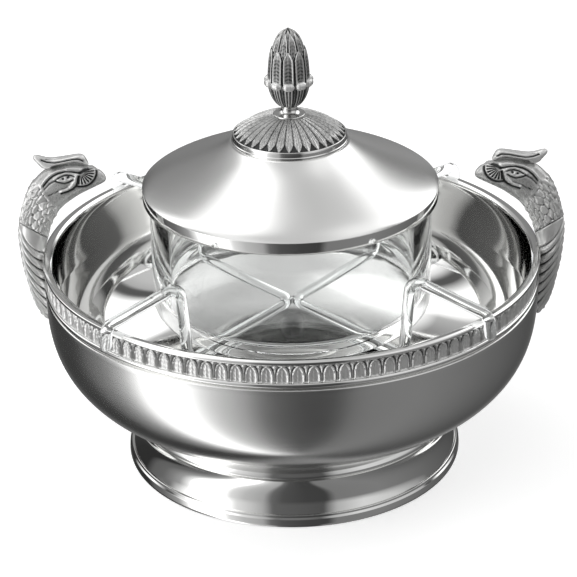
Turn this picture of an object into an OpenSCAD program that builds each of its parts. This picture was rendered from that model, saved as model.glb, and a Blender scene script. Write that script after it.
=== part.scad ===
// Covered serving bowl: a footed silver bowl with two griffin-head handles, a cradle of
// bent glass rods hooked over its rim, a glass dish standing in the cradle, and a domed
// silver lid with a pine-cone finial. Ice goes between the bowl and the dish.
// Units are millimetres. The origin is on the table, on the bowl's axis; +X runs through
// the right-hand handle.

/* [Bowl] */
// Width over the rim moulding
rim_d = 220; // [180:1:270]
// Height of the rim's top above the table
rim_h = 99; // [80:1:125]
// How far the belly stays inside the rim moulding
belly_inset = 0.5; // [0.2:0.1:3]
// Drop from the rim's top to the widest level of the belly
belly_drop = 14; // [12.5:0.5:20]
// Squareness of the belly's curve, where 2 is an ellipse
belly_power = 2.85; // [2.2:0.05:3.4]
// Height of the bowl's underside above the table, at its centre
floor_h = 22; // [18:0.5:28]
// Thickness of the bowl's sheet
bowl_wall = 1.6; // [1:0.1:2.4]

/* [Border] */
// Height of the rim moulding
mould_h = 2.4; // [1.8:0.1:3.5]
// How far the rim moulding stands out beyond the neck
mould_out = 2.4; // [1.8:0.1:3.5]
// How far the rim moulding stands in past the bowl's wall
mould_in = 0.2; // [0.1:0.1:1.2]
// Height of the strip of leaves
leaf_h = 7.8; // [5:0.1:9]
// Thickness of the strip of leaves
leaf_t = 1.1; // [0.6:0.1:1.6]
// Diameter of the wire below the leaves
wire_d = 2.2; // [1.4:0.1:2.6]

/* [Foot] */
// Width of the foot on the table
foot_d = 152; // [125:1:186]
// Height of the base moulding
base_h = 5.6; // [4:0.1:8]
// Depth of the base moulding, from its outside to its inside
base_w = 6; // [4.5:0.1:9]
// How far the foot's wall stands in from the base moulding
step_in = 2; // [1:0.1:3]
// How far the foot's wall curves in at its waist
waist_in = 2.4; // [0.5:0.1:4]
// Level of the joint between the foot's wall and its collar
collar_z = 22; // [18:0.5:24]
// Thickness of the foot's sheet
foot_wall_t = 1.6; // [1:0.1:2.4]

/* [Handles] */
// Width of a handle across the neck
neck_w = 13.5; // [10:0.5:18]
// Gap for solder between a handle and the bowl
solder = 0.05; // [0.02:0.01:0.1]

/* [Cradle] */
// Diameter of the glass rods
rod_d = 5; // [3.5:0.1:6.2]
// Drop from the rim's top to the axis of the rods under the dish
cradle_drop = 31; // [26:0.5:36]
// Height of the rods' upper bends above the rim's top, at their axes
arch_rise = 6.5; // [5.5:0.5:12]
// How far the upright stretch leans out between its two bends
arm_lean = 3; // [0:0.5:5]
// Length of the hooks below the rim's top
hook_drop = 7.5; // [5:0.5:10]
// Bend radius at the middle and at the foot of the uprights
low_bend = 6; // [4:0.5:9]
// Bend radius at the upper bends
high_bend = 6; // [4:0.5:9]
// Inside radius of the bend over the rim
hook_inside = 1.5; // [0.9:0.1:3]
// Gap between the two rods at the middle, filled by the fused bead
fuse_gap = 0.05; // [0.02:0.01:0.2]
// Turn of the left rod about the bowl's axis, as bent by hand
left_turn = 3; // [-6:0.5:6]
// Turn of the right rod about the bowl's axis, as bent by hand
right_turn = 1.5; // [-6:0.5:6]

/* [Dish] */
// Outside width of the glass dish
dish_d = 124; // [100:1:150]
// Height of the dish
dish_h = 58; // [45:1:70]
// Thickness of the dish's wall
dish_wall = 3.2; // [2:0.1:5]
// Thickness of the dish's base
dish_base = 6; // [4:0.5:10]
// Radius of the dish's lower edge
dish_edge = 8; // [5:0.5:12]

/* [Lid] */
// Height of the polished band around the lid
band_h = 5.5; // [4:0.1:9]
// Thickness of the band
band_t = 1.6; // [1:0.1:3]
// Thickness of the dome's sheet
dome_t = 1.3; // [0.8:0.1:2]
// Rise of the dome above the band
dome_rise = 20.2; // [14:0.2:30]
// Depth of the bezel that drops inside the dish
bezel_h = 6; // [3:0.5:12]
// Thickness of the bezel's sheet
bezel_t = 1.2; // [0.8:0.1:2]

/* [Finial] */
// Width of the polished ring around the rosette
ring_d = 50.6; // [36:0.2:60]
// Height of the polished ring
ring_h = 3.4; // [2:0.1:5]
// Depth of the polished ring, from its outside to its inside
ring_w = 1.2; // [0.8:0.1:3]
// Rise of the rosette above the dome's top
rosette_h = 11.2; // [8:0.2:16]
// Width of the stem's flared foot
stem_d = 14; // [11:0.2:20]
// Height of the stem
stem_h = 5; // [4:0.2:12]
// Width of the stem's waist
waist_d = 7; // [5.6:0.2:10]
// Width over the curled tips of the calyx
calyx_d = 22; // [18:0.2:28]
// Height of the calyx
calyx_h = 12; // [9:0.2:18]
// Greatest width of the pine cone
cone_d = 18.6; // [13:0.2:22]
// Height of the pine cone's tip above the top of the calyx
cone_h = 22.6; // [15:0.2:36]
// Diameter of the threaded stud through the finial
stud_d = 3; // [2:0.1:4]
// Length of the stud above the stem's top, up inside the cone
stud_grip = 9; // [6:0.5:12]

/* [Fits] */
// Gap between pieces that only rest on each other
rest_gap = 0.3; // [0.1:0.05:0.5]
// Gap between the dish's wall and the upright rods
rod_gap = 2; // [0.5:0.1:4]
// Gap between the dish and the lid's band, around the outside
band_gap = 1.2; // [0.4:0.1:2]
// Gap between the dish and the lid's bezel, around the inside
bezel_gap = 0.7; // [0.4:0.1:2]
// Gap around the stud in the holes it passes through
stud_gap = 0.05; // [0.02:0.01:0.2]

/* [Hidden] */
$fn = 96;

silver = [0.80, 0.80, 0.79];
satin = [0.72, 0.72, 0.71];
oxidised = [0.55, 0.55, 0.54];
glass = [0.86, 0.90, 0.90, 0.45];

// Bowl
rim_r = rim_d / 2;
belly_r = rim_r - belly_inset;
belly_z = rim_h - belly_drop;
belly_depth = belly_z - floor_h;
neck_r = rim_r - mould_out;
neck_z = belly_z + 1.3;
// A point of the belly's curve, t from 0 at the widest level to 90 at the bottom centre
function belly_point(t, r, depth) =
    [r * pow(cos(t), 2 / belly_power), belly_z - depth * pow(sin(t), 2 / belly_power)];
// Outside radius of the belly at a height below its widest level
function belly_r_at(z) =
    belly_r * pow(1 - pow((belly_z - z) / belly_depth, belly_power), 1 / belly_power);
// Height of the belly's outside at a radius
function belly_z_at(r) =
    belly_z - belly_depth * pow(1 - pow(r / belly_r, belly_power), 1 / belly_power);
function belly_curve(r, depth) = [for (t = [90:-3:0]) belly_point(t, r, depth)];

// Border
leaf_top = rim_h - mould_h;
leaf_z = leaf_top - leaf_h;
wire_z = leaf_z - wire_d / 2;

// Foot
foot_r = foot_d / 2;
wall_r = foot_r - step_in;
collar_r = wall_r - 1.5;
collar_top_r = collar_r - 2;

// Cradle
rod_r = rod_d / 2;
arm_z = rim_h - cradle_drop;
upright_r = dish_d / 2 + rod_gap + rod_r;
arch_r = upright_r + arm_lean;
hook_r = rim_r + rod_r + rest_gap;
hook_bend = hook_inside + rod_r;
over_z = rim_h + rod_r + rest_gap + 0.5;
// How far each rod is shifted out from the axis, so that the rods meet back to back
rod_shift = rod_r + fuse_gap - low_bend * (sqrt(2) - 1);

// Dish
dish_r = dish_d / 2;
dish_z = arm_z + rod_r + rest_gap;
dish_top = dish_z + dish_h;

// Lid
band_r = dish_r + band_gap;
lid_r = band_r + band_t;
seat_z = dish_top + 0.1;
band_top = seat_z + bezel_t;
bezel_r = dish_r - dish_wall - bezel_gap;
dome_top = band_top + dome_rise;
ring_r = ring_d / 2;
crown_r = ring_r + 0.4;
stud_hole_r = stud_d / 2 + stud_gap;

// Finial
stem_z = dome_top + rosette_h;
calyx_z = stem_z + stem_h;
cup_top = calyx_z + calyx_h;
cone_top = cup_top + cone_h;
cup_t = 1.2;
cup_r = calyx_d / 2 - 2.4;
washer_t = 1;
nut_h = 2.4;
nut_z = dome_top - dome_t - washer_t - nut_h;

function bezier(a, b, c, d, steps) = [
    for (i = [0:steps]) let (t = i / steps, s = 1 - t)
        s * s * s * a + 3 * s * s * t * b + 3 * s * t * t * c + t * t * t * d
];

// A ring with a square section
module ring(r_in, r_out, z, h) {
    rotate_extrude() translate([r_in, z]) square([r_out - r_in, h]);
}

// The hole that the finial's stud passes through
module stud_bore() {
    translate([0, 0, nut_z - 20]) cylinder(r = stud_hole_r, h = 20 + calyx_z + stud_grip - nut_z);
}

// ---- Bowl ----

module bowl_shell() {
    outside = belly_curve(belly_r, belly_depth);
    inside = belly_curve(belly_r - bowl_wall, belly_depth - bowl_wall);
    n = len(inside);
    color(satin) rotate_extrude($fn = 180) polygon(concat(
        outside,
        [[neck_r, neck_z], [neck_r, leaf_top]],
        [[neck_r - bowl_wall, leaf_top], [neck_r - bowl_wall, neck_z - 0.4]],
        [for (i = [n - 1:-1:0]) inside[i]]
    ));
}

module rim_moulding() {
    inner = neck_r - bowl_wall - mould_in;
    round = mould_h / 3;
    color(silver) rotate_extrude() polygon(concat(
        [[inner, leaf_top], [rim_r - round, leaf_top]],
        [for (a = [-60:30:90])
            [rim_r - round + round * cos(a), leaf_top + (1 + sin(a)) * mould_h / 2]],
        [for (a = [90:30:180]) [inner + round + round * cos(a), rim_h - round + round * sin(a)]]
    ));
}

module leaf_border() {
    color(oxidised) ring(neck_r, neck_r + leaf_t, leaf_z, leaf_h);
}

module border_wire() {
    color(silver) rotate_extrude() translate([neck_r + wire_d / 2, wire_z]) circle(d = wire_d, $fn = 32);
}

// ---- Foot ----

module foot_ring() {
    lip = 1.2;
    color(silver) rotate_extrude() polygon([
        [foot_r - base_w, 0], [foot_r, 0], [foot_r, base_h - 1.8],
        [foot_r - 0.5, base_h - 0.8], [foot_r - lip, base_h], [foot_r - base_w, base_h]
    ]);
}

// The waisted sheet between the base moulding and the collar
module foot_wall() {
    top = collar_z - 0.6;
    arc = [for (i = [0:12]) let (t = i / 12)
        [wall_r - waist_in * sin(180 * t) - 1 * t, base_h + (top - base_h) * t]];
    color(silver) rotate_extrude() polygon(concat(
        arc, [for (i = [12:-1:0]) arc[i] - [foot_wall_t, 0]]
    ));
}

// The moulding that joins the foot to the underside of the bowl
module foot_collar() {
    inner = collar_top_r - 3;
    color(silver) difference() {
        rotate_extrude() polygon([
            [inner, collar_z - 0.6], [collar_r - 0.6, collar_z - 0.6], [collar_r - 0.6, collar_z],
            [collar_r + 0.6, collar_z + 0.6], [collar_r + 0.8, collar_z + 1.6], [collar_r, collar_z + 2.6],
            [collar_top_r, belly_z_at(collar_top_r) + 2], [inner, belly_z_at(collar_top_r) + 2]
        ]);
        rotate_extrude($fn = 180) polygon(concat(
            belly_curve(belly_r, belly_depth), [[0, belly_z]]
        ));
    }
}

// ---- Handles ----

// One station of a handle: place, half thickness in the handle's plane, half width across
module station(p, t, w) {
    translate([p[0], 0, p[1]]) scale([1, w / t, 1]) sphere(r = t, $fn = 24);
}

// Everything that a handle has to stay clear of
module bowl_outline() {
    rotate_extrude($fn = 180) polygon(concat(
        belly_curve(belly_r + solder, belly_depth + solder),
        [[neck_r + wire_d + solder, neck_z], [neck_r + wire_d + solder, leaf_z],
         [rim_r + solder, leaf_top], [rim_r + solder, rim_h + solder], [0, rim_h + solder]]
    ));
}

// A griffin's head and neck on a folded wing; the beak points at the bowl's axis
module griffin() {
    w = neck_w / 2;
    tail = rim_h - 33;
    wing = rim_h - 21;
    difference() {
        union() {
            hull() {
                station([belly_r_at(tail) + 1.6, tail], 1.6, 1.8);
                station([belly_r_at(wing) + 3, wing], 3.9, 0.6 * w);
            }
            hull() {
                station([belly_r_at(wing) + 3, wing], 3.9, 0.6 * w);
                station([rim_r + 3.9, rim_h - 10], 5.4, w);
                station([rim_r + 4.3, rim_h], 6.3, 1.15 * w);
            }
            hull() {
                station([rim_r + 4.3, rim_h], 6.3, 1.15 * w);
                station([rim_r + 3.9, rim_h + 6.6], 6.7, 1.05 * w);
                station([rim_r + 3, rim_h + 13], 6.9, w);
            }
            hull() {
                station([rim_r + 3, rim_h + 13], 6.9, w);
                station([rim_r - 0.8, rim_h + 22], 7.6, w);
            }
            hull() {
                station([rim_r - 0.8, rim_h + 22], 7.6, w);
                station([rim_r - 6, rim_h + 29.4], 8, w);
            }
            hull() {
                station([rim_r - 6, rim_h + 29.4], 8, w);
                station([rim_r - 13, rim_h + 32.4], 7.2, 1.05 * w);
                station([rim_r - 20, rim_h + 34.4], 5.2, 0.8 * w);
            }
            hull() {
                station([rim_r - 20, rim_h + 34.4], 5.2, 0.8 * w);
                station([rim_r - 25.4, rim_h + 35.4], 3, 0.4 * w);
                station([rim_r - 28.6, rim_h + 33.4], 1.2, 1.2);
            }
            hull() {
                station([rim_r - 18.6, rim_h + 42.6], 2.8, 0.5 * w);
                station([rim_r - 12, rim_h + 38], 2.4, 0.7 * w);
                station([rim_r - 4, rim_h + 38.6], 2.2, 0.7 * w);
                station([rim_r - 6, rim_h + 43], 2, 0.4 * w);
                station([rim_r + 1, rim_h + 43.2], 0.8, 1);
            }
        }
        bowl_outline();
    }
}

module handle_right() {
    color(silver) griffin();
}

module handle_left() {
    color(silver) mirror([1, 0, 0]) griffin();
}

// ---- Cradle ----

function unit(v) = v / norm(v);

// Points along a path whose corners are rounded, each to its own bend radius
function rounded(path, bends) = concat(
    [path[0]],
    [for (i = [1:len(path) - 2])
        let (
            back = unit(path[i - 1] - path[i]),
            ahead = unit(path[i + 1] - path[i]),
            open = acos(back * ahead),
            radius = bends[i - 1],
            centre = path[i] + unit(back + ahead) * radius / sin(open / 2),
            start = path[i] + back * radius / tan(open / 2) - centre,
            steps = ceil((180 - open) / 15)
        )
        for (k = [0:steps]) let (a = (180 - open) * k / steps)
            centre + start * cos(a) - back * radius * sin(a)
    ],
    [path[len(path) - 1]]
);

// A round rod along a list of points, as one closed skin. Its rings are kept from twisting, and the
// first one is squared up with the Y axis.
module rod(points) {
    n = len(points);
    sides = 20;
    run = [for (i = [0:n - 2]) unit(points[i + 1] - points[i])];
    along = [for (i = [0:n - 1]) unit(run[max(i - 1, 0)] + run[min(i, n - 2)])];
    function upright(v, axis) = unit(v - (v * axis) * axis);
    across = [for (i = 0, v = upright([0, 1, 0], along[0]); i < n;
        i = i + 1, v = upright(v, along[min(i, n - 1)])) v];
    skin = [for (i = [0:n - 1]) for (k = [0:sides - 1]) let (a = 360 * k / sides)
        points[i] + rod_r * (cos(a) * across[i] + sin(a) * cross(along[i], across[i]))];
    walls = [for (i = [0:n - 2]) for (k = [0:sides - 1]) let (m = (k + 1) % sides)
        [i * sides + k, i * sides + m, (i + 1) * sides + m, (i + 1) * sides + k]];
    polyhedron(skin, concat(
        [[for (k = [sides - 1:-1:0]) k]], walls, [[for (k = [0:sides - 1]) (n - 1) * sides + k]]
    ));
}

// A rod bent to a right angle at the middle, with an arm on each side of +X. Each arm runs
// out under the dish, up, and over the rim.
module cradle_rod() {
    arm = [
        [hook_r + 0.8, rim_h - hook_drop], [hook_r - 0.6, over_z], [arch_r, rim_h + arch_rise],
        [upright_r, arm_z], [0, arm_z]
    ];
    function at(p, side) = [rod_shift + p[0] / sqrt(2), side * p[0] / sqrt(2), p[1]];
    rod(rounded(
        concat([for (p = arm) at(p, -1)], [for (i = [3:-1:0]) at(arm[i], 1)]),
        [hook_bend, high_bend, low_bend, low_bend, low_bend, high_bend, hook_bend]
    ));
}

module cradle_rod_right() {
    color(glass) rotate([0, 0, right_turn]) cradle_rod();
}

module cradle_rod_left() {
    color(glass) rotate([0, 0, 180 + left_turn]) cradle_rod();
}

// The small bead of glass that fuses the two rods back to back
module cradle_bead() {
    color(glass) translate([0, 0, arm_z]) sphere(r = 0.88 * rod_r, $fn = 48);
}

// ---- Dish ----

module glass_dish() {
    inner = dish_r - dish_wall;
    inner_edge = dish_edge - dish_wall;
    lip = dish_wall / 3;
    color(glass) rotate_extrude() polygon(concat(
        [[0, dish_z]],
        [for (a = [-90:10:0])
            [dish_r - dish_edge * (1 - cos(a)), dish_z + dish_edge * (1 + sin(a))]],
        [[dish_r, dish_top - lip], [dish_r - lip, dish_top]],
        [[inner + lip, dish_top], [inner, dish_top - lip]],
        [for (a = [0:-15:-90])
            [inner - inner_edge * (1 - cos(a)), dish_z + dish_base + inner_edge * (1 + sin(a))]],
        [[0, dish_z + dish_base]]
    ));
}

// ---- Lid ----

// Outline of the dome from its edge to its flat crown
function dome_curve(drop) = bezier(
    [lid_r - drop, band_top], [lid_r - 4.8 - drop / 2, band_top + 4.6 - drop],
    [crown_r + 12, dome_top - 8.4 - drop], [crown_r, dome_top - drop], 16
);

module lid_dome() {
    outer = dome_curve(0);
    inner = dome_curve(dome_t);
    n = len(inner);
    color(satin) difference() {
        rotate_extrude($fn = 180) polygon(concat(
            outer, [[0, dome_top], [0, dome_top - dome_t]], [for (i = [n - 1:-1:0]) inner[i]]
        ));
        stud_bore();
    }
}

module lid_band() {
    color(silver) ring(band_r, lid_r, band_top - band_h, band_h);
}

// The ring that rests on the dish's edge, with a bezel that keeps the lid central
module lid_bezel() {
    color(silver) rotate_extrude() polygon([
        [bezel_r - bezel_t, seat_z - bezel_h], [bezel_r, seat_z - bezel_h], [bezel_r, seat_z],
        [band_r, seat_z], [band_r, band_top], [bezel_r - bezel_t, band_top]
    ]);
}

module rosette_ring() {
    inner = ring_r - ring_w;
    color(silver) rotate_extrude() polygon([
        [inner, dome_top], [ring_r, dome_top], [ring_r, dome_top + ring_h - 1.4],
        [ring_r - 0.4, dome_top + ring_h - 0.4], [ring_r - 0.8, dome_top + ring_h],
        [inner, dome_top + ring_h]
    ]);
}

module lid_rosette() {
    outer = ring_r - ring_w;
    flat = stem_d / 2;
    color(oxidised) difference() {
        rotate_extrude() polygon(concat(
            [[0, dome_top], [outer, dome_top]],
            bezier([outer, dome_top + ring_h - 0.8], [outer - 5, dome_top + 0.72 * rosette_h],
                [flat + 4, stem_z - 0.6], [flat, stem_z], 8),
            [[0, stem_z]]
        ));
        stud_bore();
    }
}

module finial_stem() {
    foot = stem_d / 2;
    waist = waist_d / 2;
    color(silver) difference() {
        rotate_extrude() polygon(concat(
            [[0, stem_z], [foot, stem_z], [foot, stem_z + 0.5]],
            bezier([foot - 0.3, stem_z + 0.9], [waist + 0.6, stem_z + 1.4],
                [waist, stem_z + 0.5 * stem_h], [waist, stem_z + 0.75 * stem_h], 8),
            [[waist + 0.7, calyx_z], [0, calyx_z]]
        ));
        stud_bore();
    }
}

// Outline of the calyx cup, and of the part of the cone that sits in it
function cup_curve(inset) = bezier(
    [waist_d / 2 + 0.9 - inset, calyx_z + inset], [cup_r - 2 - inset, calyx_z + 0.25 * calyx_h],
    [cup_r - inset, calyx_z + 0.6 * calyx_h], [cup_r + 0.6 - inset, cup_top - 2], 10
);

module finial_calyx() {
    inner = cup_curve(cup_t);
    n = len(inner);
    tip = calyx_d / 2;
    color(oxidised) difference() {
        rotate_extrude() polygon(concat(
            [[0, calyx_z]], cup_curve(0),
            [[tip - 0.6, cup_top - 1.2], [tip, cup_top], [tip - 0.8, cup_top + 0.9], [tip - 2.1, cup_top]],
            [for (i = [n - 1:-1:0]) inner[i]], [[0, calyx_z + cup_t]]
        ));
        stud_bore();
    }
}

module finial_cone() {
    inner = cup_curve(cup_t);
    cone_r = cone_d / 2;
    color(oxidised) difference() {
        rotate_extrude() polygon(concat(
            [[0, calyx_z + cup_t]], inner,
            bezier([cone_r, cup_top + 1.4], [cone_r, cup_top + 0.62 * cone_h],
                [0.5 * cone_r, cone_top], [0, cone_top], 16)
        ));
        stud_bore();
    }
}

module finial_stud() {
    color(silver) translate([0, 0, nut_z - 1.2])
        cylinder(d = stud_d, h = calyx_z + stud_grip - nut_z + 1.2, $fn = 48);
}

module finial_washer() {
    color(silver) ring(stud_hole_r, 5, nut_z + nut_h, washer_t);
}

module finial_nut() {
    color(silver) difference() {
        translate([0, 0, nut_z]) cylinder(r = 3.2, h = nut_h, $fn = 6);
        stud_bore();
    }
}

bowl_shell();
rim_moulding();
leaf_border();
border_wire();
foot_collar();
foot_wall();
foot_ring();
handle_left();
handle_right();
cradle_rod_left();
cradle_rod_right();
cradle_bead();
glass_dish();
lid_dome();
lid_band();
lid_bezel();
rosette_ring();
lid_rosette();
finial_stem();
finial_calyx();
finial_cone();
finial_stud();
finial_washer();
finial_nut();
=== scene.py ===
"""Covered silver serving bowl with griffin handles: the looks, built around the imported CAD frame."""
import math

import bpy
import bmesh
import numpy as np
from mathutils import Matrix, Vector


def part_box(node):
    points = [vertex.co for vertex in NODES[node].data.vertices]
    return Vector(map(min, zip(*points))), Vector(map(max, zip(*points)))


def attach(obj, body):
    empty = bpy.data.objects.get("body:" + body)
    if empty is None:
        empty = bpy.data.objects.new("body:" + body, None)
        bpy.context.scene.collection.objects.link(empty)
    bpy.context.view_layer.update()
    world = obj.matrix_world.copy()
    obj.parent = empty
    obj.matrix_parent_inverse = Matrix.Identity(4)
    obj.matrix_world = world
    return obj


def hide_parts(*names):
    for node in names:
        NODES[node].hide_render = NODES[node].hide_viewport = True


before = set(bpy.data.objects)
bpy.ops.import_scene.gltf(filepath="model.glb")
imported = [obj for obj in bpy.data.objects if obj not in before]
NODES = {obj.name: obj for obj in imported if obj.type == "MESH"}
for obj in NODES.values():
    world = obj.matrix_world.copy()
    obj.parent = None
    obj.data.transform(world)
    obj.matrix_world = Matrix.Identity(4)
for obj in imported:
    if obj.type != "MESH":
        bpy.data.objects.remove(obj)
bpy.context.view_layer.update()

MM = 0.001
TAU = 2 * math.pi


def cad_box(node):
    """A CAD node's lowest and highest corner, in millimetres."""
    lo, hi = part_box(node)
    return np.array(lo) / MM, np.array(hi) / MM


# ---------------------------------------------------------------- sizes, from the frame
rim_hi = cad_box("rim_moulding")[1]
leaf_lo, leaf_hi = cad_box("leaf_border")
wire_lo, wire_hi = cad_box("border_wire")
shell_lo, shell_hi = cad_box("bowl_shell")
collar_hi = cad_box("foot_collar")[1]
wall_hi = cad_box("foot_wall")[1]
base_hi = cad_box("foot_ring")[1]
dish_lo, dish_hi = cad_box("glass_dish")
band_lo, band_hi = cad_box("lid_band")
bezel_lo, bezel_hi = cad_box("lid_bezel")
dome_hi = cad_box("lid_dome")[1]
ring_lo, ring_hi = cad_box("rosette_ring")
rose_lo, rose_hi = cad_box("lid_rosette")
stem_lo, stem_hi = cad_box("finial_stem")
calyx_lo, calyx_hi = cad_box("finial_calyx")
cone_hi = cad_box("finial_cone")[1]
bead_lo, bead_hi = cad_box("cradle_bead")

RIM_R, RIM_Z = rim_hi[0], rim_hi[2]
BELLY_R, FLOOR_Z = shell_hi[0], shell_lo[2]
# The neck behind the leaf strip, the widest level of the belly and how square its curve is
NECK_R = RIM_R - 2.4
BELLY_Z = RIM_Z - 14
BELLY_POWER = 2.85
# Thickness of the silver, how far the rim overhangs it inside, and where the throat's curve starts
WALL = 1.6
RIM_IN = 0.2
LINING_Z = BELLY_Z - 13
# Hole of the finial's stud, and the outside of the bezel's drop inside the dish
STUD_HOLE = 1.55
BEZEL_R = 58.1
# Points around the axis: large turned pieces, the foot, and smaller pieces
ROUND_BIG, ROUND_FOOT, ROUND_SMALL = 288, 256, 224


def belly(t, inset=0.0):
    """Point of the belly's curve: t is 0 at the widest level and 1 at the bottom centre."""
    a = 0.5 * math.pi * t
    r = (BELLY_R - inset) * max(math.cos(a), 0.0) ** (2 / BELLY_POWER)
    z = BELLY_Z - (BELLY_Z - FLOOR_Z - inset) * math.sin(a) ** (2 / BELLY_POWER)
    return r, z


def belly_at(z):
    """Point of the belly's inner curve at height z."""
    depth = (BELLY_Z - z) / (BELLY_Z - FLOOR_Z - WALL)
    return (BELLY_R - WALL) * (1 - depth ** BELLY_POWER) ** (1 / BELLY_POWER), z


def bowl_radius(z):
    """Outside radius of the bowl, its border and its rim at height z, as an array."""
    depth = np.clip((BELLY_Z - z) / (BELLY_Z - FLOOR_Z), 0, 1)
    r = BELLY_R * (1 - depth ** BELLY_POWER) ** (1 / BELLY_POWER)
    r = np.where(z > wire_lo[2] - 0.5, wire_hi[0] - 0.4, r)
    return np.where(z > leaf_hi[2], RIM_R, r)


# ---------------------------------------------------------------- mesh helpers
def bezier(a, b, c, d, steps):
    """Points of a cubic curve from a to d."""
    t = np.linspace(0, 1, steps + 1)[:, None]
    a, b, c, d = (np.array(p, float) for p in (a, b, c, d))
    return (1 - t) ** 3 * a + 3 * (1 - t) ** 2 * t * b + 3 * (1 - t) * t ** 2 * c + t ** 3 * d


def rounded(corners, closed=True, steps=6):
    """An outline whose corners (r, z, radius) are rounded with short arcs."""
    pts = [np.array(c[:2], float) for c in corners]
    out = []
    n = len(pts)
    for i, c in enumerate(corners):
        rad = c[2] if len(c) > 2 else 0
        if rad <= 0 or (not closed and i in (0, n - 1)):
            out.append(pts[i])
            continue
        u, v = pts[i - 1] - pts[i], pts[(i + 1) % n] - pts[i]
        lu, lv = np.linalg.norm(u), np.linalg.norm(v)
        u, v = u / lu, v / lv
        half = math.acos(np.clip(u @ v, -1, 1)) / 2
        back = min(rad / math.tan(half), 0.49 * lu, 0.49 * lv)
        rad = back * math.tan(half)
        centre = pts[i] + (u + v) / np.linalg.norm(u + v) * rad / math.sin(half)
        a, b = pts[i] + u * back - centre, pts[i] + v * back - centre
        a0 = math.atan2(a[1], a[0])
        sweep = (math.atan2(b[1], b[0]) - a0 + math.pi) % TAU - math.pi
        for k in range(steps + 1):
            ang = a0 + sweep * k / steps
            out.append(centre + rad * np.array([math.cos(ang), math.sin(ang)]))
    return np.array(out)


def grid_faces(rows, cols, wrap_rows, wrap_cols):
    """Quads of a grid of vertices, closed along its rows or columns if asked."""
    r = np.arange(rows if wrap_rows else rows - 1)
    c = np.arange(cols if wrap_cols else cols - 1)
    r, c = np.meshgrid(r, c, indexing="ij")
    r2, c2 = (r + 1) % rows, (c + 1) % cols
    quads = np.stack([r * cols + c, r * cols + c2, r2 * cols + c2, r2 * cols + c], -1)
    return quads.reshape(-1, 4)


def piece(name, verts, faces, body, nodes, mats, rows=None, wear_and_painted_light=None, sharp=38, weld=True):
    """A finished mesh object, in the frame, that rides on a body and stands for CAD nodes."""
    mesh = bpy.data.meshes.new(name)
    mesh.from_pydata((np.asarray(verts) * MM).tolist(), [], [list(map(int, f)) for f in faces])
    if rows is not None:
        mesh.polygons.foreach_set("material_index", np.asarray(rows, np.int32))
    if wear_and_painted_light is not None:
        mesh.attributes.new("wear_and_painted_light", "FLOAT", "POINT").data.foreach_set(
            "value", np.asarray(wear_and_painted_light, np.float32).ravel())
    bm = bmesh.new()
    bm.from_mesh(mesh)
    if weld:
        bmesh.ops.remove_doubles(bm, verts=bm.verts, dist=0.002 * MM)
        bmesh.ops.dissolve_degenerate(bm, dist=0.0005 * MM, edges=bm.edges)
    bmesh.ops.recalc_face_normals(bm, faces=bm.faces)
    bm.to_mesh(mesh)
    bm.free()
    mesh.polygons.foreach_set("use_smooth", np.ones(len(mesh.polygons), bool))
    mesh.set_sharp_from_angle(angle=math.radians(sharp))
    for m in mats:
        mesh.materials.append(m)
    obj = bpy.data.objects.new(name, mesh)
    bpy.context.scene.collection.objects.link(obj)
    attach(obj, body)
    if nodes:
        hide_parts(*nodes)
    return obj


def section_normals(section, closed):
    """Unit normals of an outline, to the right of its direction."""
    if closed:
        d = np.roll(section, -1, 0) - np.roll(section, 1, 0)
    else:
        d = np.gradient(section, axis=0)
    n = np.stack([d[:, 1], -d[:, 0]], -1)
    return n / np.maximum(np.linalg.norm(n, axis=1), 1e-9)[:, None]


def spin(section, count, push=None, closed=True):
    """Vertices and faces of a section (r, z) turned about Z. push moves each vertex along the
    section's normal; it has one row per point of the section and one column per angle."""
    section = np.asarray(section, float)
    sr, sz = section.T
    area = 0.5 * np.sum(sr * np.roll(sz, -1) - np.roll(sr, -1) * sz)
    normal = section_normals(section, closed) * (1 if area > 0 else -1)
    ang = np.arange(count) * TAU / count
    r = np.repeat(section[:, :1], count, 1)
    z = np.repeat(section[:, 1:], count, 1)
    if push is not None:
        r, z = r + normal[:, :1] * push, z + normal[:, 1:] * push
    verts = np.stack([r * np.cos(ang), r * np.sin(ang), z], -1).reshape(-1, 3)
    return verts, grid_faces(len(section), count, closed, True)


def row_materials(section, count, first):
    """Material 0 for the faces of a section's rows before the first one named, and 1 from there on."""
    return (np.repeat(np.arange(len(section)), count) >= first).astype(int)


def leaf_places(leaves, per):
    """Place across its own leaf, from -1 to 1, of every column around a row of leaves."""
    return ((np.arange(leaves * per) / per) % 1.0) * 2 - 1


def turned(degrees):
    """Matrix that turns row vectors about Z."""
    c, s = math.cos(math.radians(degrees)), math.sin(math.radians(degrees))
    return np.array([[c, s, 0], [-s, c, 0], [0, 0, 1]])


def smooth(x, lo, hi):
    """0 below lo, 1 above hi, with a soft step between."""
    t = np.clip((x - lo) / (hi - lo), 0, 1)
    return t * t * (3 - 2 * t)


def hill(x, width):
    """1 at 0, falling off on both sides."""
    return np.exp(-(x / width) ** 2)


def spline(keys, t):
    """Catmull-Rom curve through rows of keys; t runs from 0 to the number of rows less one."""
    keys = np.asarray(keys, float)
    i = np.clip(np.floor(t).astype(int), 0, len(keys) - 2)
    f = (t - i)[:, None]
    at = lambda k: keys[np.clip(k, 0, len(keys) - 1)]
    a, b, c, d = at(i - 1), at(i), at(i + 1), at(i + 2)
    return 0.5 * (2 * b + (c - a) * f + (2 * a - 5 * b + 4 * c - d) * f ** 2
                  + (3 * b - a - 3 * c + d) * f ** 3)


def polyline_distance(x, z, points):
    """Distance of every (x, z) from an open line of points."""
    best = np.full(np.shape(x), 1e9)
    for (ax, az), (bx, bz) in zip(points[:-1], points[1:]):
        dx, dz = bx - ax, bz - az
        k = np.clip(((x - ax) * dx + (z - az) * dz) / (dx * dx + dz * dz), 0, 1)
        best = np.minimum(best, np.hypot(x - ax - k * dx, z - az - k * dz))
    return best


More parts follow.
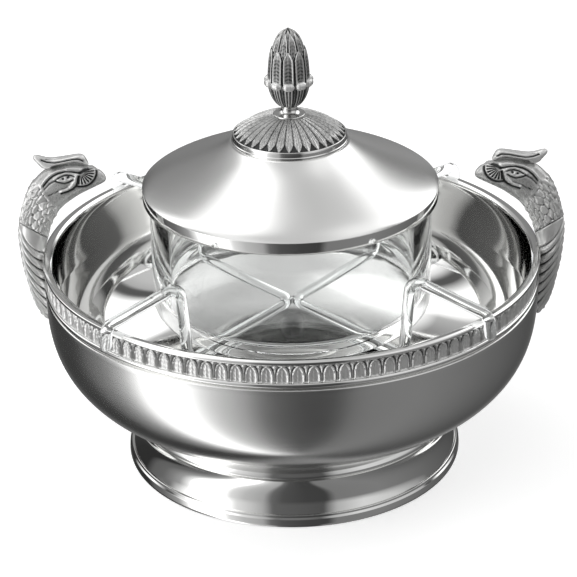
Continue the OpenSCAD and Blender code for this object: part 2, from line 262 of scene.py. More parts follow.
# ---------------------------------------------------------------- materials
class Nodes:
    """Short calls for the node tree of a material or a world."""

    def __init__(self, owner, output):
        owner.use_nodes = True
        self.tree = owner.node_tree
        self.tree.nodes.clear()
        self.out = self.add(output)

    def add(self, kind, **values):
        node = self.tree.nodes.new(kind)
        for key, value in values.items():
            if key.startswith("in_"):
                node.inputs[key[3:].replace("_", " ")].default_value = value
            else:
                setattr(node, key, value)
        return node

    def link(self, a, b):
        self.tree.links.new(a, b)

    def math(self, operation, *args):
        node = self.add("ShaderNodeMath", operation=operation)
        for socket, arg in zip(node.inputs, args):
            if isinstance(arg, (int, float)):
                socket.default_value = arg
            else:
                self.link(arg, socket)
        return node.outputs[0]

    def ramp(self, fac, stops):
        node = self.add("ShaderNodeValToRGB")
        ramp = node.color_ramp
        while len(ramp.elements) > 1:
            ramp.elements.remove(ramp.elements[-1])
        for i, (pos, value) in enumerate(stops):
            e = ramp.elements[0] if i == 0 else ramp.elements.new(pos)
            e.position = pos
            e.color = (value, value, value, 1) if isinstance(value, (int, float)) else (*value, 1)
        self.link(fac, node.inputs[0])
        return node.outputs[0]

    def noise(self, vector, scale, detail=2.0, rough=0.5):
        node = self.add("ShaderNodeTexNoise", in_Scale=scale, in_Detail=detail, in_Roughness=rough)
        self.link(vector, node.inputs["Vector"])
        return node.outputs[0]


def new_material(name):
    material = bpy.data.materials.new(name)
    return material, Nodes(material, "ShaderNodeOutputMaterial")


def spun_coordinates(n):
    """Object coordinates laid out as (radius, a little of the angle, height): marks run round the axis."""
    place = n.add("ShaderNodeTexCoord").outputs["Object"]
    xyz = n.add("ShaderNodeSeparateXYZ")
    n.link(place, xyz.inputs[0])
    x, y, z = xyz.outputs
    radius = n.math("SQRT", n.math("ADD", n.math("MULTIPLY", x, x), n.math("MULTIPLY", y, y)))
    turn = n.math("MULTIPLY", n.math("ARCTAN2", y, x), 0.004)
    comb = n.add("ShaderNodeCombineXYZ")
    n.link(radius, comb.inputs[0])
    n.link(turn, comb.inputs[1])
    n.link(z, comb.inputs[2])
    return place, comb.outputs[0]


# Share of the cloudy wear in a silver's roughness; the marks have the rest
CLOUDS = 0.6


def silver(name, colour, rough_lo, rough_hi, brush_scale, brush=0.0, aniso=0.0, ripple=0.0, spun=True):
    """Bare silver: faint spinning or polishing marks, cloudy wear and slow ripples in the surface."""
    material, n = new_material(name)
    place, ring = spun_coordinates(n)
    shader = n.add("ShaderNodeBsdfPrincipled", in_Metallic=1.0, in_Anisotropic=aniso)
    cloud = n.noise(place, 38, 3.0, 0.6)
    marks = n.noise(ring if spun else place, brush_scale, 2.0, 0.6)
    mixed = n.math("ADD", n.math("MULTIPLY", cloud, CLOUDS), n.math("MULTIPLY", marks, 1 - CLOUDS))
    rough = n.ramp(mixed, [(0.3, rough_lo), (0.7, rough_hi)])
    n.link(rough, shader.inputs["Roughness"])
    tint = n.ramp(cloud, [(0.3, tuple(c * (1 - 0.05 * CLOUDS) for c in colour)), (0.7, colour)])
    n.link(tint, shader.inputs["Base Color"])
    if aniso:
        tangent = n.add("ShaderNodeTangent", direction_type="RADIAL", axis="Z")
        n.link(tangent.outputs[0], shader.inputs["Tangent"])
    bump = n.add("ShaderNodeBump", in_Strength=brush, in_Distance=0.00004)
    n.link(marks, bump.inputs["Height"])
    if ripple:
        slow = n.add("ShaderNodeBump", in_Strength=ripple, in_Distance=0.0006)
        n.link(n.noise(place, 22, 1.0), slow.inputs["Height"])
        n.link(slow.outputs[0], bump.inputs["Normal"])
    n.link(bump.outputs[0], shader.inputs["Normal"])
    n.link(shader.outputs[0], n.out.inputs[0])
    return material


def chased(name, dark, bright, lo, hi, metal, grain=0.5):
    """Cast or stamped silver whose hollows are oxidised and whose high places are rubbed bright. On some
    pieces the colour attribute also carries painted highlights and painted shadows.
    """
    material, n = new_material(name)
    place = n.add("ShaderNodeTexCoord").outputs["Object"]
    wear_and_painted_light = n.add("ShaderNodeAttribute", attribute_name="wear_and_painted_light").outputs["Fac"]
    speckle = n.noise(place, 900, 3.0, 0.65)
    cloud = n.noise(place, 160, 2.0)
    height = n.math("ADD", wear_and_painted_light, n.math("MULTIPLY", n.math("SUBTRACT", speckle, 0.5), 0.35))
    height = n.math("ADD", height, n.math("MULTIPLY", n.math("SUBTRACT", cloud, 0.5), 0.25))
    clean = n.ramp(height, [(lo, 0.0), (hi, 1.0)])
    shader = n.add("ShaderNodeBsdfPrincipled")
    middle = tuple(0.5 * (a + b) for a, b in zip(dark, bright))
    n.link(n.ramp(clean, [(0.0, dark), (0.55, middle), (1.0, bright)]), shader.inputs["Base Color"])
    n.link(n.ramp(clean, [(0.0, 0.4), (0.5, metal)]), shader.inputs["Metallic"])
    n.link(n.ramp(clean, [(0.0, 0.55), (1.0, 0.2)]), shader.inputs["Roughness"])
    bump = n.add("ShaderNodeBump", in_Strength=grain, in_Distance=0.00012)
    n.link(n.noise(place, 1500, 3.0, 0.7), bump.inputs["Height"])
    n.link(bump.outputs[0], shader.inputs["Normal"])
    n.link(shader.outputs[0], n.out.inputs[0])
    return material


def clear_glass(name, tint, ripple, ior, coat=0.0):
    """Clear glass with the faint ripples and smears of a pressed or bent piece."""
    material, n = new_material(name)
    place = n.add("ShaderNodeTexCoord").outputs["Object"]
    shader = n.add("ShaderNodeBsdfPrincipled", in_IOR=ior, in_Roughness=0.0)
    shader.inputs["Transmission Weight"].default_value = 1.0
    shader.inputs["Coat Weight"].default_value = coat
    shader.inputs["Coat Roughness"].default_value = 0.0
    smears = n.ramp(n.noise(place, 60, 2.0), [(0.35, tint), (0.65, (0.995, 1.0, 1.0))])
    n.link(smears, shader.inputs["Base Color"])
    bump = n.add("ShaderNodeBump", in_Strength=ripple, in_Distance=0.0004)
    n.link(n.noise(place, 45, 1.5), bump.inputs["Height"])
    n.link(bump.outputs[0], shader.inputs["Normal"])
    n.link(shader.outputs[0], n.out.inputs[0])
    return material


BRIGHT = (0.93, 0.93, 0.92)
DISH_TINT = (0.985, 0.995, 0.99)
POLISHED = silver("polished_silver", BRIGHT, 0.03, 0.08, 2500, brush=0.05, ripple=0.03)
MIRROR = silver("bowl_lining", BRIGHT, 0.02, 0.07, 1500, brush=0.05, ripple=0.12)
SATIN = silver("satin_silver", (0.90, 0.90, 0.89), 0.19, 0.23, 900, aniso=0.6)
DOME = silver("satin_dome", (0.92, 0.92, 0.91), 0.17, 0.20, 900, aniso=0.5)
FRIEZE = chased("stamped_border", (0.10, 0.10, 0.10), (0.90, 0.90, 0.89), lo=0.12, hi=0.5, metal=0.5)
ROSETTE = chased("chased_rosette", (0.06, 0.062, 0.062), (0.90, 0.90, 0.89), lo=0.20, hi=0.62, metal=0.5)
CONE = chased("chased_cone", (0.03, 0.032, 0.032), (0.97, 0.97, 0.96), lo=0.2, hi=0.66, metal=0.45)
STEM = silver("stem_silver", BRIGHT, 0.13, 0.18, 2500, brush=0.02)
CAST = chased("cast_griffin", (0.04, 0.042, 0.042), (0.96, 0.96, 0.95), lo=0.10, hi=0.56, metal=0.42,
              grain=0.25)
GLASS = clear_glass("dish_glass", DISH_TINT, 0.04, 1.10, coat=0.7)
BASE_GLASS = clear_glass("dish_base_glass", DISH_TINT, 0.04, 1.04, coat=0.4)
ROD_GLASS = clear_glass("rod_glass", (0.97, 0.985, 0.985), 0.08, 1.36)
STEEL = silver("fastener_steel", (0.62, 0.62, 0.63), 0.2, 0.35, 3000, brush=0.4, spun=False)


# ---------------------------------------------------------------- bowl
def build_bowl():
    """The spun bowl: satin outside and on the neck, polished inside."""
    t = np.linspace(1, 0, 111) ** 1.15
    outer = [belly(k) for k in t]
    inner = [p for p in (belly(k, WALL) for k in t) if p[1] < LINING_Z]
    neck = bezier((BELLY_R, BELLY_Z), (BELLY_R, BELLY_Z + 1), (NECK_R, BELLY_Z + 0.6),
                  (NECK_R, BELLY_Z + 2.2), 6)[1:]
    r_in = NECK_R - WALL - RIM_IN
    throat = bezier(belly_at(LINING_Z), (BELLY_R - WALL, BELLY_Z - 1), (r_in + 1.4, BELLY_Z + 7),
                    (r_in, leaf_hi[2]), 24)[:-1]
    section = np.array(outer + [tuple(p) for p in neck] + [(NECK_R, leaf_hi[2]), (r_in, leaf_hi[2])]
                       + [tuple(p) for p in throat[::-1]] + inner[::-1])
    section[0, 0] = section[-1, 0] = 0.0
    verts, faces = spin(section, ROUND_BIG, closed=False)
    satin_rows = len(outer) + len(neck) + 1
    piece("bowl_body", verts, faces, "bowl", ["bowl_shell"], [SATIN, MIRROR],
          rows=row_materials(section[:-1], ROUND_BIG, satin_rows), sharp=50)


def build_rim():
    z0, z1, r_in = leaf_hi[2], RIM_Z, NECK_R - WALL - RIM_IN
    section = rounded([(r_in, z0, 0.05), (RIM_R - 0.9, z0, 0.2), (RIM_R, z0 + 0.8, 0.7),
                       (RIM_R, z1 - 0.5, 0.9), (RIM_R - 1.4, z1, 0.8), (r_in + 1.2, z1, 0.9),
                       (r_in, z1 - 1.1, 0.6)])
    verts, faces = spin(section, ROUND_BIG)
    piece("rim_edge", verts, faces, "bowl", ["rim_moulding"], [POLISHED])


def build_frieze():
    """The stamped strip: upright leaves, each in an arch, with a dart between every two."""
    leaves, per, rows = 108, 18, 26
    # where the arch starts to close and where its tip is, as shares of the strip's height
    spring, tip = 0.25, 0.89
    # thickness of the strip under its deepest hollow
    ground = 0.25
    z0, z1, r0, r1 = leaf_lo[2], leaf_hi[2], NECK_R, leaf_hi[0]
    v = np.linspace(0, 1, rows)
    z = z0 + (z1 - z0) * v
    U, V = np.meshgrid(leaf_places(leaves, per), v)
    arch = 0.70 * np.sqrt(np.clip(1 - (np.clip(V - spring, 0, 1) / 0.64) ** 2.3, 0, 1))
    above = V > tip
    edge = np.where(above, np.hypot(U, (V - tip) * 2.2), np.abs(np.abs(U) - arch))
    inside = (np.abs(U) < arch) & ~above
    outline = hill(edge, 0.13)
    groove = hill(np.abs(U) - arch - 0.20, 0.07) * (V < 0.92)
    seed = np.sin(U * 31 + V * 17) * np.sin(U * 13 - V * 41)
    vein = hill(U, 0.06) * (V < 0.7) * inside
    dart = hill(np.abs(U) - 1, 0.13) * smooth(V, 0.95, 0.85)
    head = hill(np.abs(U) - 1, 0.28) * hill(V - 0.88, 0.07)
    height = 0.30 * inside * (1 - 0.35 * V) + 0.55 * outline + 0.10 * inside * seed + 0.18 * vein
    height = height + 0.42 * dart + 0.45 * head - 0.32 * groove
    height = height + 0.55 * hill(V, 0.03) + 0.35 * hill(V - 1, 0.03)
    height = np.clip(height, -0.1, 0.75)
    depth = (height + 0.1) / 0.85 * (r1 - r0 - ground)
    section = [(r0 + ground, k) for k in z] + [(r0, z1), (r0, z0)]
    # the relief stands straight out from the axis
    push = np.vstack([depth, np.zeros((2, leaves * per))])
    verts, faces = spin(section, leaves * per)
    ang = np.tile(np.arange(leaves * per) * TAU / (leaves * per), len(section))
    verts[:, 0] += push.ravel() * np.cos(ang)
    verts[:, 1] += push.ravel() * np.sin(ang)
    wear_and_painted_light = np.vstack([(height + 0.1) / 0.70, np.full((2, leaves * per), 0.5)])
    piece("leaf_frieze", verts, faces, "bowl", ["leaf_border"], [FRIEZE], wear_and_painted_light=wear_and_painted_light,
          sharp=60, weld=False)


def build_wire():
    zc = 0.5 * (wire_lo[2] + wire_hi[2])
    r = 0.5 * (wire_hi[2] - wire_lo[2])
    rc = wire_hi[0] - r
    a = np.linspace(0, TAU, 25)[:-1]
    section = np.stack([rc + r * np.cos(a), zc + r * np.sin(a)], -1)
    verts, faces = spin(section, ROUND_BIG)
    piece("frieze_wire", verts, faces, "bowl", ["border_wire"], [POLISHED])


# ---------------------------------------------------------------- foot
def build_foot():
    """The base moulding, the waisted wall and the moulding under the bowl."""
    r_out, z0, z1 = base_hi[0], 0.0, base_hi[2]
    r_in = r_out - 6
    section = rounded([(r_in, z0, 0.3), (r_out - 0.3, z0, 0.5), (r_out, z0 + 1.2, 0.8),
                       (r_out - 0.2, z1 - 1.9, 0.6), (r_out - 0.9, z1 - 1.1, 0.3), (r_out - 1.1, z1, 0.5),
                       (r_in, z1, 0.3)])
    verts, faces = spin(section, ROUND_FOOT)
    piece("foot_base", verts, faces, "bowl", ["foot_ring"], [POLISHED])

    top = wall_hi[2]
    t = np.linspace(0, 1, 41)
    r = wall_hi[0] - 2.4 * np.sin(math.pi * t) - t
    z = z1 + (top - z1) * t
    section = np.vstack([np.stack([r, z], -1), np.stack([r - WALL, z], -1)[::-1]])
    verts, faces = spin(section, ROUND_FOOT)
    piece("foot_waist", verts, faces, "bowl", ["foot_wall"], [POLISHED], sharp=50)

    def belly_z(r):
        return BELLY_Z - (BELLY_Z - FLOOR_Z) * (1 - (r / BELLY_R) ** BELLY_POWER) ** (1 / BELLY_POWER)

    c = collar_hi[0]
    r_top = c - 2.8
    r_in = r_top - 3
    flank = bezier((c - 0.6, top + 3.4), (c - 1.4, top + 4.4), (r_top, belly_z(r_top) - 1.6),
                   (r_top, belly_z(r_top)), 8)
    corners = [(r_in, top, 0.2), (c - 1.4, top, 0.2), (c - 1.4, top + 0.5, 0.2), (c, top + 1.2, 0.6),
               (c, top + 2.2, 0.6)]
    corners += [(*p, 0) for p in flank]
    corners += [(r_in + 1, belly_z(r_in + 1), 0), (r_in, belly_z(r_in), 0)]
    verts, faces = spin(rounded(corners), ROUND_FOOT)
    piece("foot_neck", verts, faces, "bowl", ["foot_collar"], [POLISHED])


# ---------------------------------------------------------------- griffin handles
# Stations from the tail to the beak: back edge (x, z), front edge (x, z), half width. x is
# measured from the rim's edge and z from the rim's top.
GRIFFIN = [
    (0.4, -34.6, -1.6, -34.0, 0.8), (3.6, -29.5, -1.6, -29.6, 2.8), (6.0, -23.4, -1.2, -24.0, 4.4),
    (8.2, -12.7, -0.8, -13.8, 6.1), (9.4, -6.0, -0.5, -7.0, 6.9), (10.1, 1.9, -0.8, 0.2, 7.5),
    (10.45, 9.3, -2.7, 7.0, 7.5), (9.8, 14.6, -3.8, 11.7, 7.1), (7.7, 22.6, -6.4, 17.0, 6.8),
    (4.0, 30.9, -10.2, 21.5, 6.7), (-2.2, 37.6, -14.2, 24.6, 6.8), (-9.0, 40.2, -17.4, 26.8, 6.6),
    (-16.0, 40.8, -21.0, 28.7, 5.9), (-22.6, 39.7, -24.7, 30.4, 4.4), (-27.0, 37.6, -27.9, 31.9, 2.6),
    (-29.5, 34.8, -29.5, 33.0, 0.9),
]
CREST = [
    (-22.2, 41.1, -22.1, 40.3, 0.6), (-21.4, 42.9, -21.4, 40.4, 1.6), (-20.0, 44.9, -20.1, 40.6, 2.5),
    (-17.8, 45.3, -17.8, 41.4, 3.0), (-13.0, 44.5, -13.2, 41.3, 3.4), (-9.2, 43.9, -9.4, 40.5, 3.6),
    (-6.0, 43.7, -6.4, 39.4, 3.5), (-2.8, 44.3, -2.4, 39.1, 3.0), (-0.6, 45.0, -0.2, 41.1, 2.2),
    (1.0, 45.2, 1.5, 43.0, 1.3), (1.8, 44.8, 2.0, 44.0, 0.5),
]
# Outermost reach of the handle's back from the rim's edge
BACK_X = 10.48
# How much lower a chased line runs for each millimetre that the surface stands out sideways
LEAN = 0.47
# Chased lines of the head: height, half width, points
HEAD_LINES = [
    # brow: its bright swelling and the dark line under it
    (0.45, 1.1, [(-18.4, 38.2), (-16.0, 38.6), (-13.6, 38.2)]),
    (-0.65, 0.42, [(-18.6, 36.3), (-15.0, 36.9), (-12.1, 37.0), (-9.1, 36.2), (-6.8, 34.9), (-4.7, 33.0),
                   (-2.4, 30.0)]),
    # a second ridge just above the dark brow line, lightened in the colour: partly relief, partly a painted
    # highlight
    (0.30, 0.55, [(-13.0, 38.0), (-9.0, 37.3), (-5.8, 35.6), (-3.4, 33.2), (-1.4, 30.4)]),
    # the ridge behind the beak, running back under the eye, and its shadow
    (0.75, 0.50, [(-17.2, 35.2), (-16.6, 33.2), (-16.0, 31.4), (-14.8, 29.8), (-12.8, 28.5),
                  (-10.0, 27.4)]),
    (-0.70, 0.42, [(-18.1, 34.6), (-17.6, 31.6), (-17.0, 30.0), (-15.6, 28.6), (-13.4, 27.4),
                   (-10.2, 26.4)]),
    (-0.40, 0.35, [(-13.6, 29.6), (-10.6, 28.4), (-7.4, 26.8), (-4.8, 25.6)]),
    (-0.40, 0.35, [(-7.3, 32.3), (-4.9, 30.7), (-3.0, 28.6)]),
    # lids and the two dark corners of the eye
    (0.45, 0.40, [(-17.0, 34.6), (-15.0, 35.9), (-12.6, 36.1), (-9.8, 35.0), (-7.6, 33.2)]),
    (-0.60, 0.34, [(-16.6, 34.5), (-14.9, 35.1), (-13.0, 35.3), (-11.2, 34.9), (-9.7, 34.1),
                   (-8.0, 32.9)]),
    (0.35, 0.34, [(-15.8, 33.9), (-14.2, 32.9), (-12.0, 32.2), (-9.8, 32.6), (-8.4, 33.0)]),
    (-0.60, 0.36, [(-15.8, 33.0), (-14.1, 31.9), (-11.9, 31.2), (-9.4, 31.7), (-7.8, 32.4)]),
    (-0.60, 0.50, [(-13.7, 34.2), (-13.4, 34.0)]),
    (-0.60, 0.45, [(-11.5, 33.5), (-11.2, 33.4)]),
    # a small raised spot in the middle of the eyeball, lightened in the colour: a painted highlight
    (0.30, 0.45, [(-12.5, 33.7), (-12.3, 33.6)]),
    # dark root of the fan below the crest
    (-0.60, 0.80, [(-22.0, 38.2), (-20.4, 37.8), (-18.9, 36.4)]),
]
CREST_LINES = [
    (-0.75, 0.42, [(-20.0, 41.9), (-18.0, 42.9), (-15.1, 42.7), (-10.8, 41.8), (-7.9, 41.3), (-4.7, 41.6),
                   (-2.0, 42.6)]),
    (-0.35, 0.30, [(-16.4, 45.0), (-12.3, 44.2), (-6.5, 43.1), (-3.6, 43.1)]),
    (-0.60, 0.40, [(-19.4, 40.4), (-16.3, 41.0), (-13.6, 40.5), (-9.2, 39.6), (-6.3, 39.0)]),
]


def tube(stations, rows, cols, power=2.3):
    """A closed skin through stations: returns vertices (rows, cols, 3), the station number of
    each row and the angle of each column, 0 at the back edge."""
    s = np.linspace(0, len(stations) - 1, rows)
    k = spline(stations, s)
    th = np.arange(cols) * TAU / cols
    c, n = np.cos(th), np.sin(th)
    c = np.sign(c) * np.abs(c) ** (2 / power)
    n = np.sign(n) * np.abs(n) ** (2 / power)
    mid, half = (k[:, 0:2] + k[:, 2:4]) / 2, (k[:, 0:2] - k[:, 2:4]) / 2
    ease = np.sqrt(np.clip(np.minimum(s, s[-1] - s) / 0.35, 0.02, 1))
    xz = mid[:, None, :] + half[:, None, :] * (c[None, :, None] * ease[:, None, None])
    y = k[:, 4:5] * ease[:, None] * n[None, :]
    return np.stack([xz[..., 0], y, xz[..., 1]], -1), s, th


def grid_normals(v):
    """Outward unit normals of a tube grid."""
    du = np.gradient(v, axis=0)
    dv = np.roll(v, -1, 1) - np.roll(v, 1, 1)
    n = np.cross(du, dv)
    n /= np.maximum(np.linalg.norm(n, axis=2), 1e-9)[..., None]
    centre = v.mean(1, keepdims=True)
    return n * np.sign(np.sum(n * (v - centre), axis=(1, 2)))[:, None, None]


def capped(v):
    """Vertices and faces of a tube grid with a fan at each end."""
    rows, cols = v.shape[:2]
    verts = np.vstack([v.reshape(-1, 3), v[0].mean(0), v[-1].mean(0)])
    faces = [tuple(f) for f in grid_faces(rows, cols, False, True)]
    last = (rows - 1) * cols
    for c in range(cols):
        d = (c + 1) % cols
        faces.append((rows * cols, d, c))
        faces.append((rows * cols + 1, last + c, last + d))
    return verts, faces


def feathers(along, across, length, width):
    """Height of small overlapping pointed feathers, each with a raised rib and a dark edge."""
    best = np.full(np.shape(along), -0.35)
    for k in (0, 1):
        u = (across / width + k / 2) % 1.0 - 0.5
        v = (along / length + k / 2) % 1.0
        shape = 0.5 * np.minimum(1.0, 1.6 * (1 - v) ** 0.7) * np.minimum(1.0, 0.55 + 1.5 * v)
        edge = (shape - np.abs(u)) * width
        h = 0.05 + 0.45 * v + 0.30 * hill(u * width, 0.28) - 0.95 * hill(edge, 0.42)
        best = np.where((edge > 0) & (h > best), h, best)
    return best


def as_seen(v):
    """The height of each vertex as it looks from a little above the side."""
    return v[..., 2] - LEAN * np.abs(v[..., 1])


def chased_lines(x, z, lines):
    """Height of a table of chased lines and ridges."""
    return sum(height * hill(polyline_distance(x, z, points), width) for height, width, points in lines)


def griffin_relief(x, z, s, th):
    """Height of the chasing in millimetres, from the place in the handle's plane."""
    side = smooth(np.abs(np.sin(th))[None, :], 0.10, 0.38) * np.ones_like(x)
    # fan of ribs at the root of the beak, framed by the smooth crescent of the beak
    dx, dz = x + 18.8, z - 36.6
    rho, phi = np.hypot(dx, dz), np.degrees(np.arctan2(dz, dx)) % 360
    sector = smooth(phi, 148, 162) * smooth(phi, 292, 280)
    ribs = sector * smooth(rho, 1.2, 2.4) * smooth(rho, 6.2, 5.6)
    h = ribs * (0.45 * np.cos(np.radians(phi) * 24) - 0.20) - 0.70 * sector * hill(rho - 7.0, 0.42)
    h += chased_lines(x, z, HEAD_LINES)
    # feathers down the neck
    back = np.minimum(th, TAU - th)[None, :] * np.ones_like(x)
    crown = 32.6 + 0.35 * x - z
    face_edge = 0.85 * (x + 1.7) + 0.52 * (29.5 - z)
    shoulder = z - (7.1 + 0.62 * x)
    neck = smooth(face_edge, -1.2, 3.2) * smooth(crown, -0.6, 2.6) * smooth(shoulder, 0.0, 0.8)
    along = -(s / s[-1] * 118)[:, None]
    drift = 0.5 * np.sin(x * 0.9 + z * 0.5) + 0.3 * np.sin(z * 1.3 - x * 0.7)
    around = np.abs(math.pi - th)[None, :] * 7.0
    h += neck * smooth(back, 0.12, 0.3) * 1.35 * feathers(along + drift, around + 0.6 * drift, 5.4, 3.1)
    # smooth shoulder, then wing feathers that sweep up from the bowl and close along the back edge
    body = smooth(back, 0.15, 0.35)
    outline = np.array(GRIFFIN[:7])
    reach = np.clip(x / np.interp(z, outline[:, 1], outline[:, 0]), -0.2, 1.05)
    sweep = z - 4.0 * reach - 12.0 * np.clip(reach, 0, 2) ** 3
    h += 0.20 * body * smooth(sweep, -1.6, -0.6) * smooth(shoulder, 0.2, -0.6)
    h -= 0.35 * body * hill(shoulder, 0.38)
    row = -(sweep + 1.4) / 4.6
    part = row % 1.0
    wing = smooth(row, 0.0, 0.06)
    barbs = 0.09 * np.cos(TAU * 3.5 * part + 0.25 * x) * smooth(part, 0.15, 0.4)
    h += body * wing * (0.75 * smooth(part, 0.0, 0.45) - 0.32 + barbs - 0.9 * hill(part - 1, 0.10))
    # a raised band low on the tail, lightened in the colour: partly relief, partly a painted highlight
    h += 0.5 * hill(z + 31.2, 0.5)
    return h * side


def build_griffins():
    """Both cast handles, mirrored: neck and head in one skin, with the crest set on it."""
    v, s, th = tube(GRIFFIN, 460, 144)
    h = griffin_relief(v[..., 0], as_seen(v), s, th)
    v = v + grid_normals(v) * h[..., None]
    v[..., 0] = np.minimum(v[..., 0], BACK_X)
    wear_and_painted_light = 0.44 + 0.95 * h
    plume, _, pth = tube(CREST, 150, 96, 2.1)
    flanks = smooth(np.abs(np.sin(pth))[None, :], 0.15, 0.4)
    ph = chased_lines(plume[..., 0], as_seen(plume), CREST_LINES) * flanks
    plume = plume + grid_normals(plume) * ph[..., None]
    verts, faces = capped(v)
    crest_verts, crest_faces = capped(plume)
    wear_and_painted_light = np.concatenate([wear_and_painted_light.ravel(), [0.5, 0.5], (0.56 + 0.8 * ph).ravel(), [0.6, 0.6]])
    base = len(verts)
    verts = np.vstack([verts, crest_verts])
    faces = faces + [tuple(i + base for i in f) for f in crest_faces]
    verts = verts + np.array([RIM_R, 0, RIM_Z])
    # the casting is fitted to the outside of the bowl
    r = np.hypot(verts[:, 0], verts[:, 1])
    keep = np.where(verts[:, 2] < RIM_Z, bowl_radius(verts[:, 2]) - 0.15, 0)
    grow = np.where(r < keep, keep / r, 1.0)
    verts[:, 0] *= grow
    verts[:, 1] *= grow
    for name, node, sign in (("griffin_right", "handle_right", 1), ("griffin_left", "handle_left", -1)):
        piece(name, verts * np.array([sign, 1, 1]), faces, "bowl", [node], [CAST],
              wear_and_painted_light=wear_and_painted_light, sharp=80, weld=False)


# ---------------------------------------------------------------- cradle and dish
ROD_R = 2.5
ARM_Z = 0.5 * (bead_lo[2] + bead_hi[2])


def bent_path(points, radii, step=5):
    """A path of straight runs whose corners are bent to the radii, with a point every step degrees."""
    out = [points[0]]
    for p0, p, p1, rad in zip(points[:-2], points[1:-1], points[2:], radii):
        u, v = (p0 - p) / np.linalg.norm(p0 - p), (p1 - p) / np.linalg.norm(p1 - p)
        half = math.acos(np.clip(u @ v, -1, 1)) / 2
        centre = p + (u + v) / np.linalg.norm(u + v) * rad / math.sin(half)
        start = p + u * rad / math.tan(half) - centre
        turn = math.pi - 2 * half
        k = max(2, int(math.degrees(turn) / step))
        for i in range(k + 1):
            out.append(centre + start * math.cos(turn * i / k) - u * rad * math.sin(turn * i / k))
    return np.array(out + [points[-1]])


def rod_mesh(path, radius, cols=36):
    """A round rod along a path with fire-polished, domed ends."""
    seg = np.diff(path, axis=0)
    seg /= np.linalg.norm(seg, axis=1)[:, None]
    tan = np.vstack([seg[:1], seg[1:] + seg[:-1], seg[-1:]])
    tan /= np.linalg.norm(tan, axis=1)[:, None]
    rings, side = [], np.array([0.0, 1.0, 0.0])
    ang = np.arange(cols) * TAU / cols
    cap = [(math.cos(a), math.sin(a)) for a in np.linspace(0, 1.45, 7)]
    centres = [(path[0] + tan[0] * radius * (1 - d), tan[0], w) for w, d in reversed(cap)]
    centres += [(p, t, 1.0) for p, t in zip(path[1:-1], tan[1:-1])]
    centres += [(path[-1] - tan[-1] * radius * (1 - d), tan[-1], w) for w, d in cap]
    for p, t, w in centres:
        side = side - (side @ t) * t
        side /= np.linalg.norm(side)
        up = np.cross(t, side)
        rings.append(p + radius * w * (np.cos(ang)[:, None] * side + np.sin(ang)[:, None] * up))
    return capped(np.array(rings))


def build_cradle():
    """Two V-shaped rods, back to back over the bowl's middle, with their ends hooked over the rim."""
    upright = dish_hi[0] + 2 + ROD_R
    hook = RIM_R + ROD_R + 0.3
    over = RIM_Z + ROD_R + 0.8
    # (distance from the axis, height) from the hook's end to the foot of the upright
    arm = [(hook + 0.8, RIM_Z - 7.5), (hook - 0.6, over), (upright + 3, RIM_Z + 6.5), (upright, ARM_Z)]
    shift = ROD_R + 0.05 - 6 * (math.sqrt(2) - 1)

    def place(r, z, side):
        return np.array([shift + r / math.sqrt(2), side * r / math.sqrt(2), z])

    points = [place(r, z, -1) for r, z in arm] + [place(0, ARM_Z, 1)]
    points += [place(r, z, 1) for r, z in arm[::-1]]
    path = bent_path(points, [4, 7, 6, 6, 6, 7, 4])
    for side, turn in (("right", 1.5), ("left", 183.0)):
        verts, faces = rod_mesh(path @ turned(turn), ROD_R)
        piece("rod_" + side, verts, faces, "cradle", ["cradle_rod_" + side], [ROD_GLASS],
              sharp=80)
    # the melted bead between the rods: a small ball, a little taller than it is wide
    a = np.linspace(-math.pi / 2, math.pi / 2, 15)
    section = np.stack([0.75 * ROD_R * np.cos(a), ARM_Z + 0.8 * ROD_R * np.sin(a)], -1)
    section[0, 0] = section[-1, 0] = 0
    verts, faces = spin(section, 36, closed=False)
    piece("fused_bead", verts, faces, "cradle", ["cradle_bead"], [ROD_GLASS], sharp=80)


def build_dish():
    """The glass dish. Below the end of its rounded lower edge it has a glass that bends light less."""
    r, z0, z1 = dish_hi[0], dish_lo[2], dish_hi[2]
    wall, base, edge, lift = 3.2, 6.0, 7.5, 0.5
    section = rounded([(0, z0), (r - 14, z0, 3), (r - 12, z0 + lift, 3), (r, z0 + lift, edge), (r, z1, 1.5),
                       (r - wall, z1, 1.5), (r - wall, z0 + base, 5.5), (0, z0 + base)],
                      closed=False, steps=12)
    verts, faces = spin(section, ROUND_SMALL, closed=False)
    under = int(np.argmax(section[:, 1] > z0 + lift + edge - 0.1))
    piece("dish", verts, faces, "dish", ["glass_dish"], [GLASS, BASE_GLASS],
          rows=1 - row_materials(section[:-1], ROUND_SMALL, under), sharp=60)


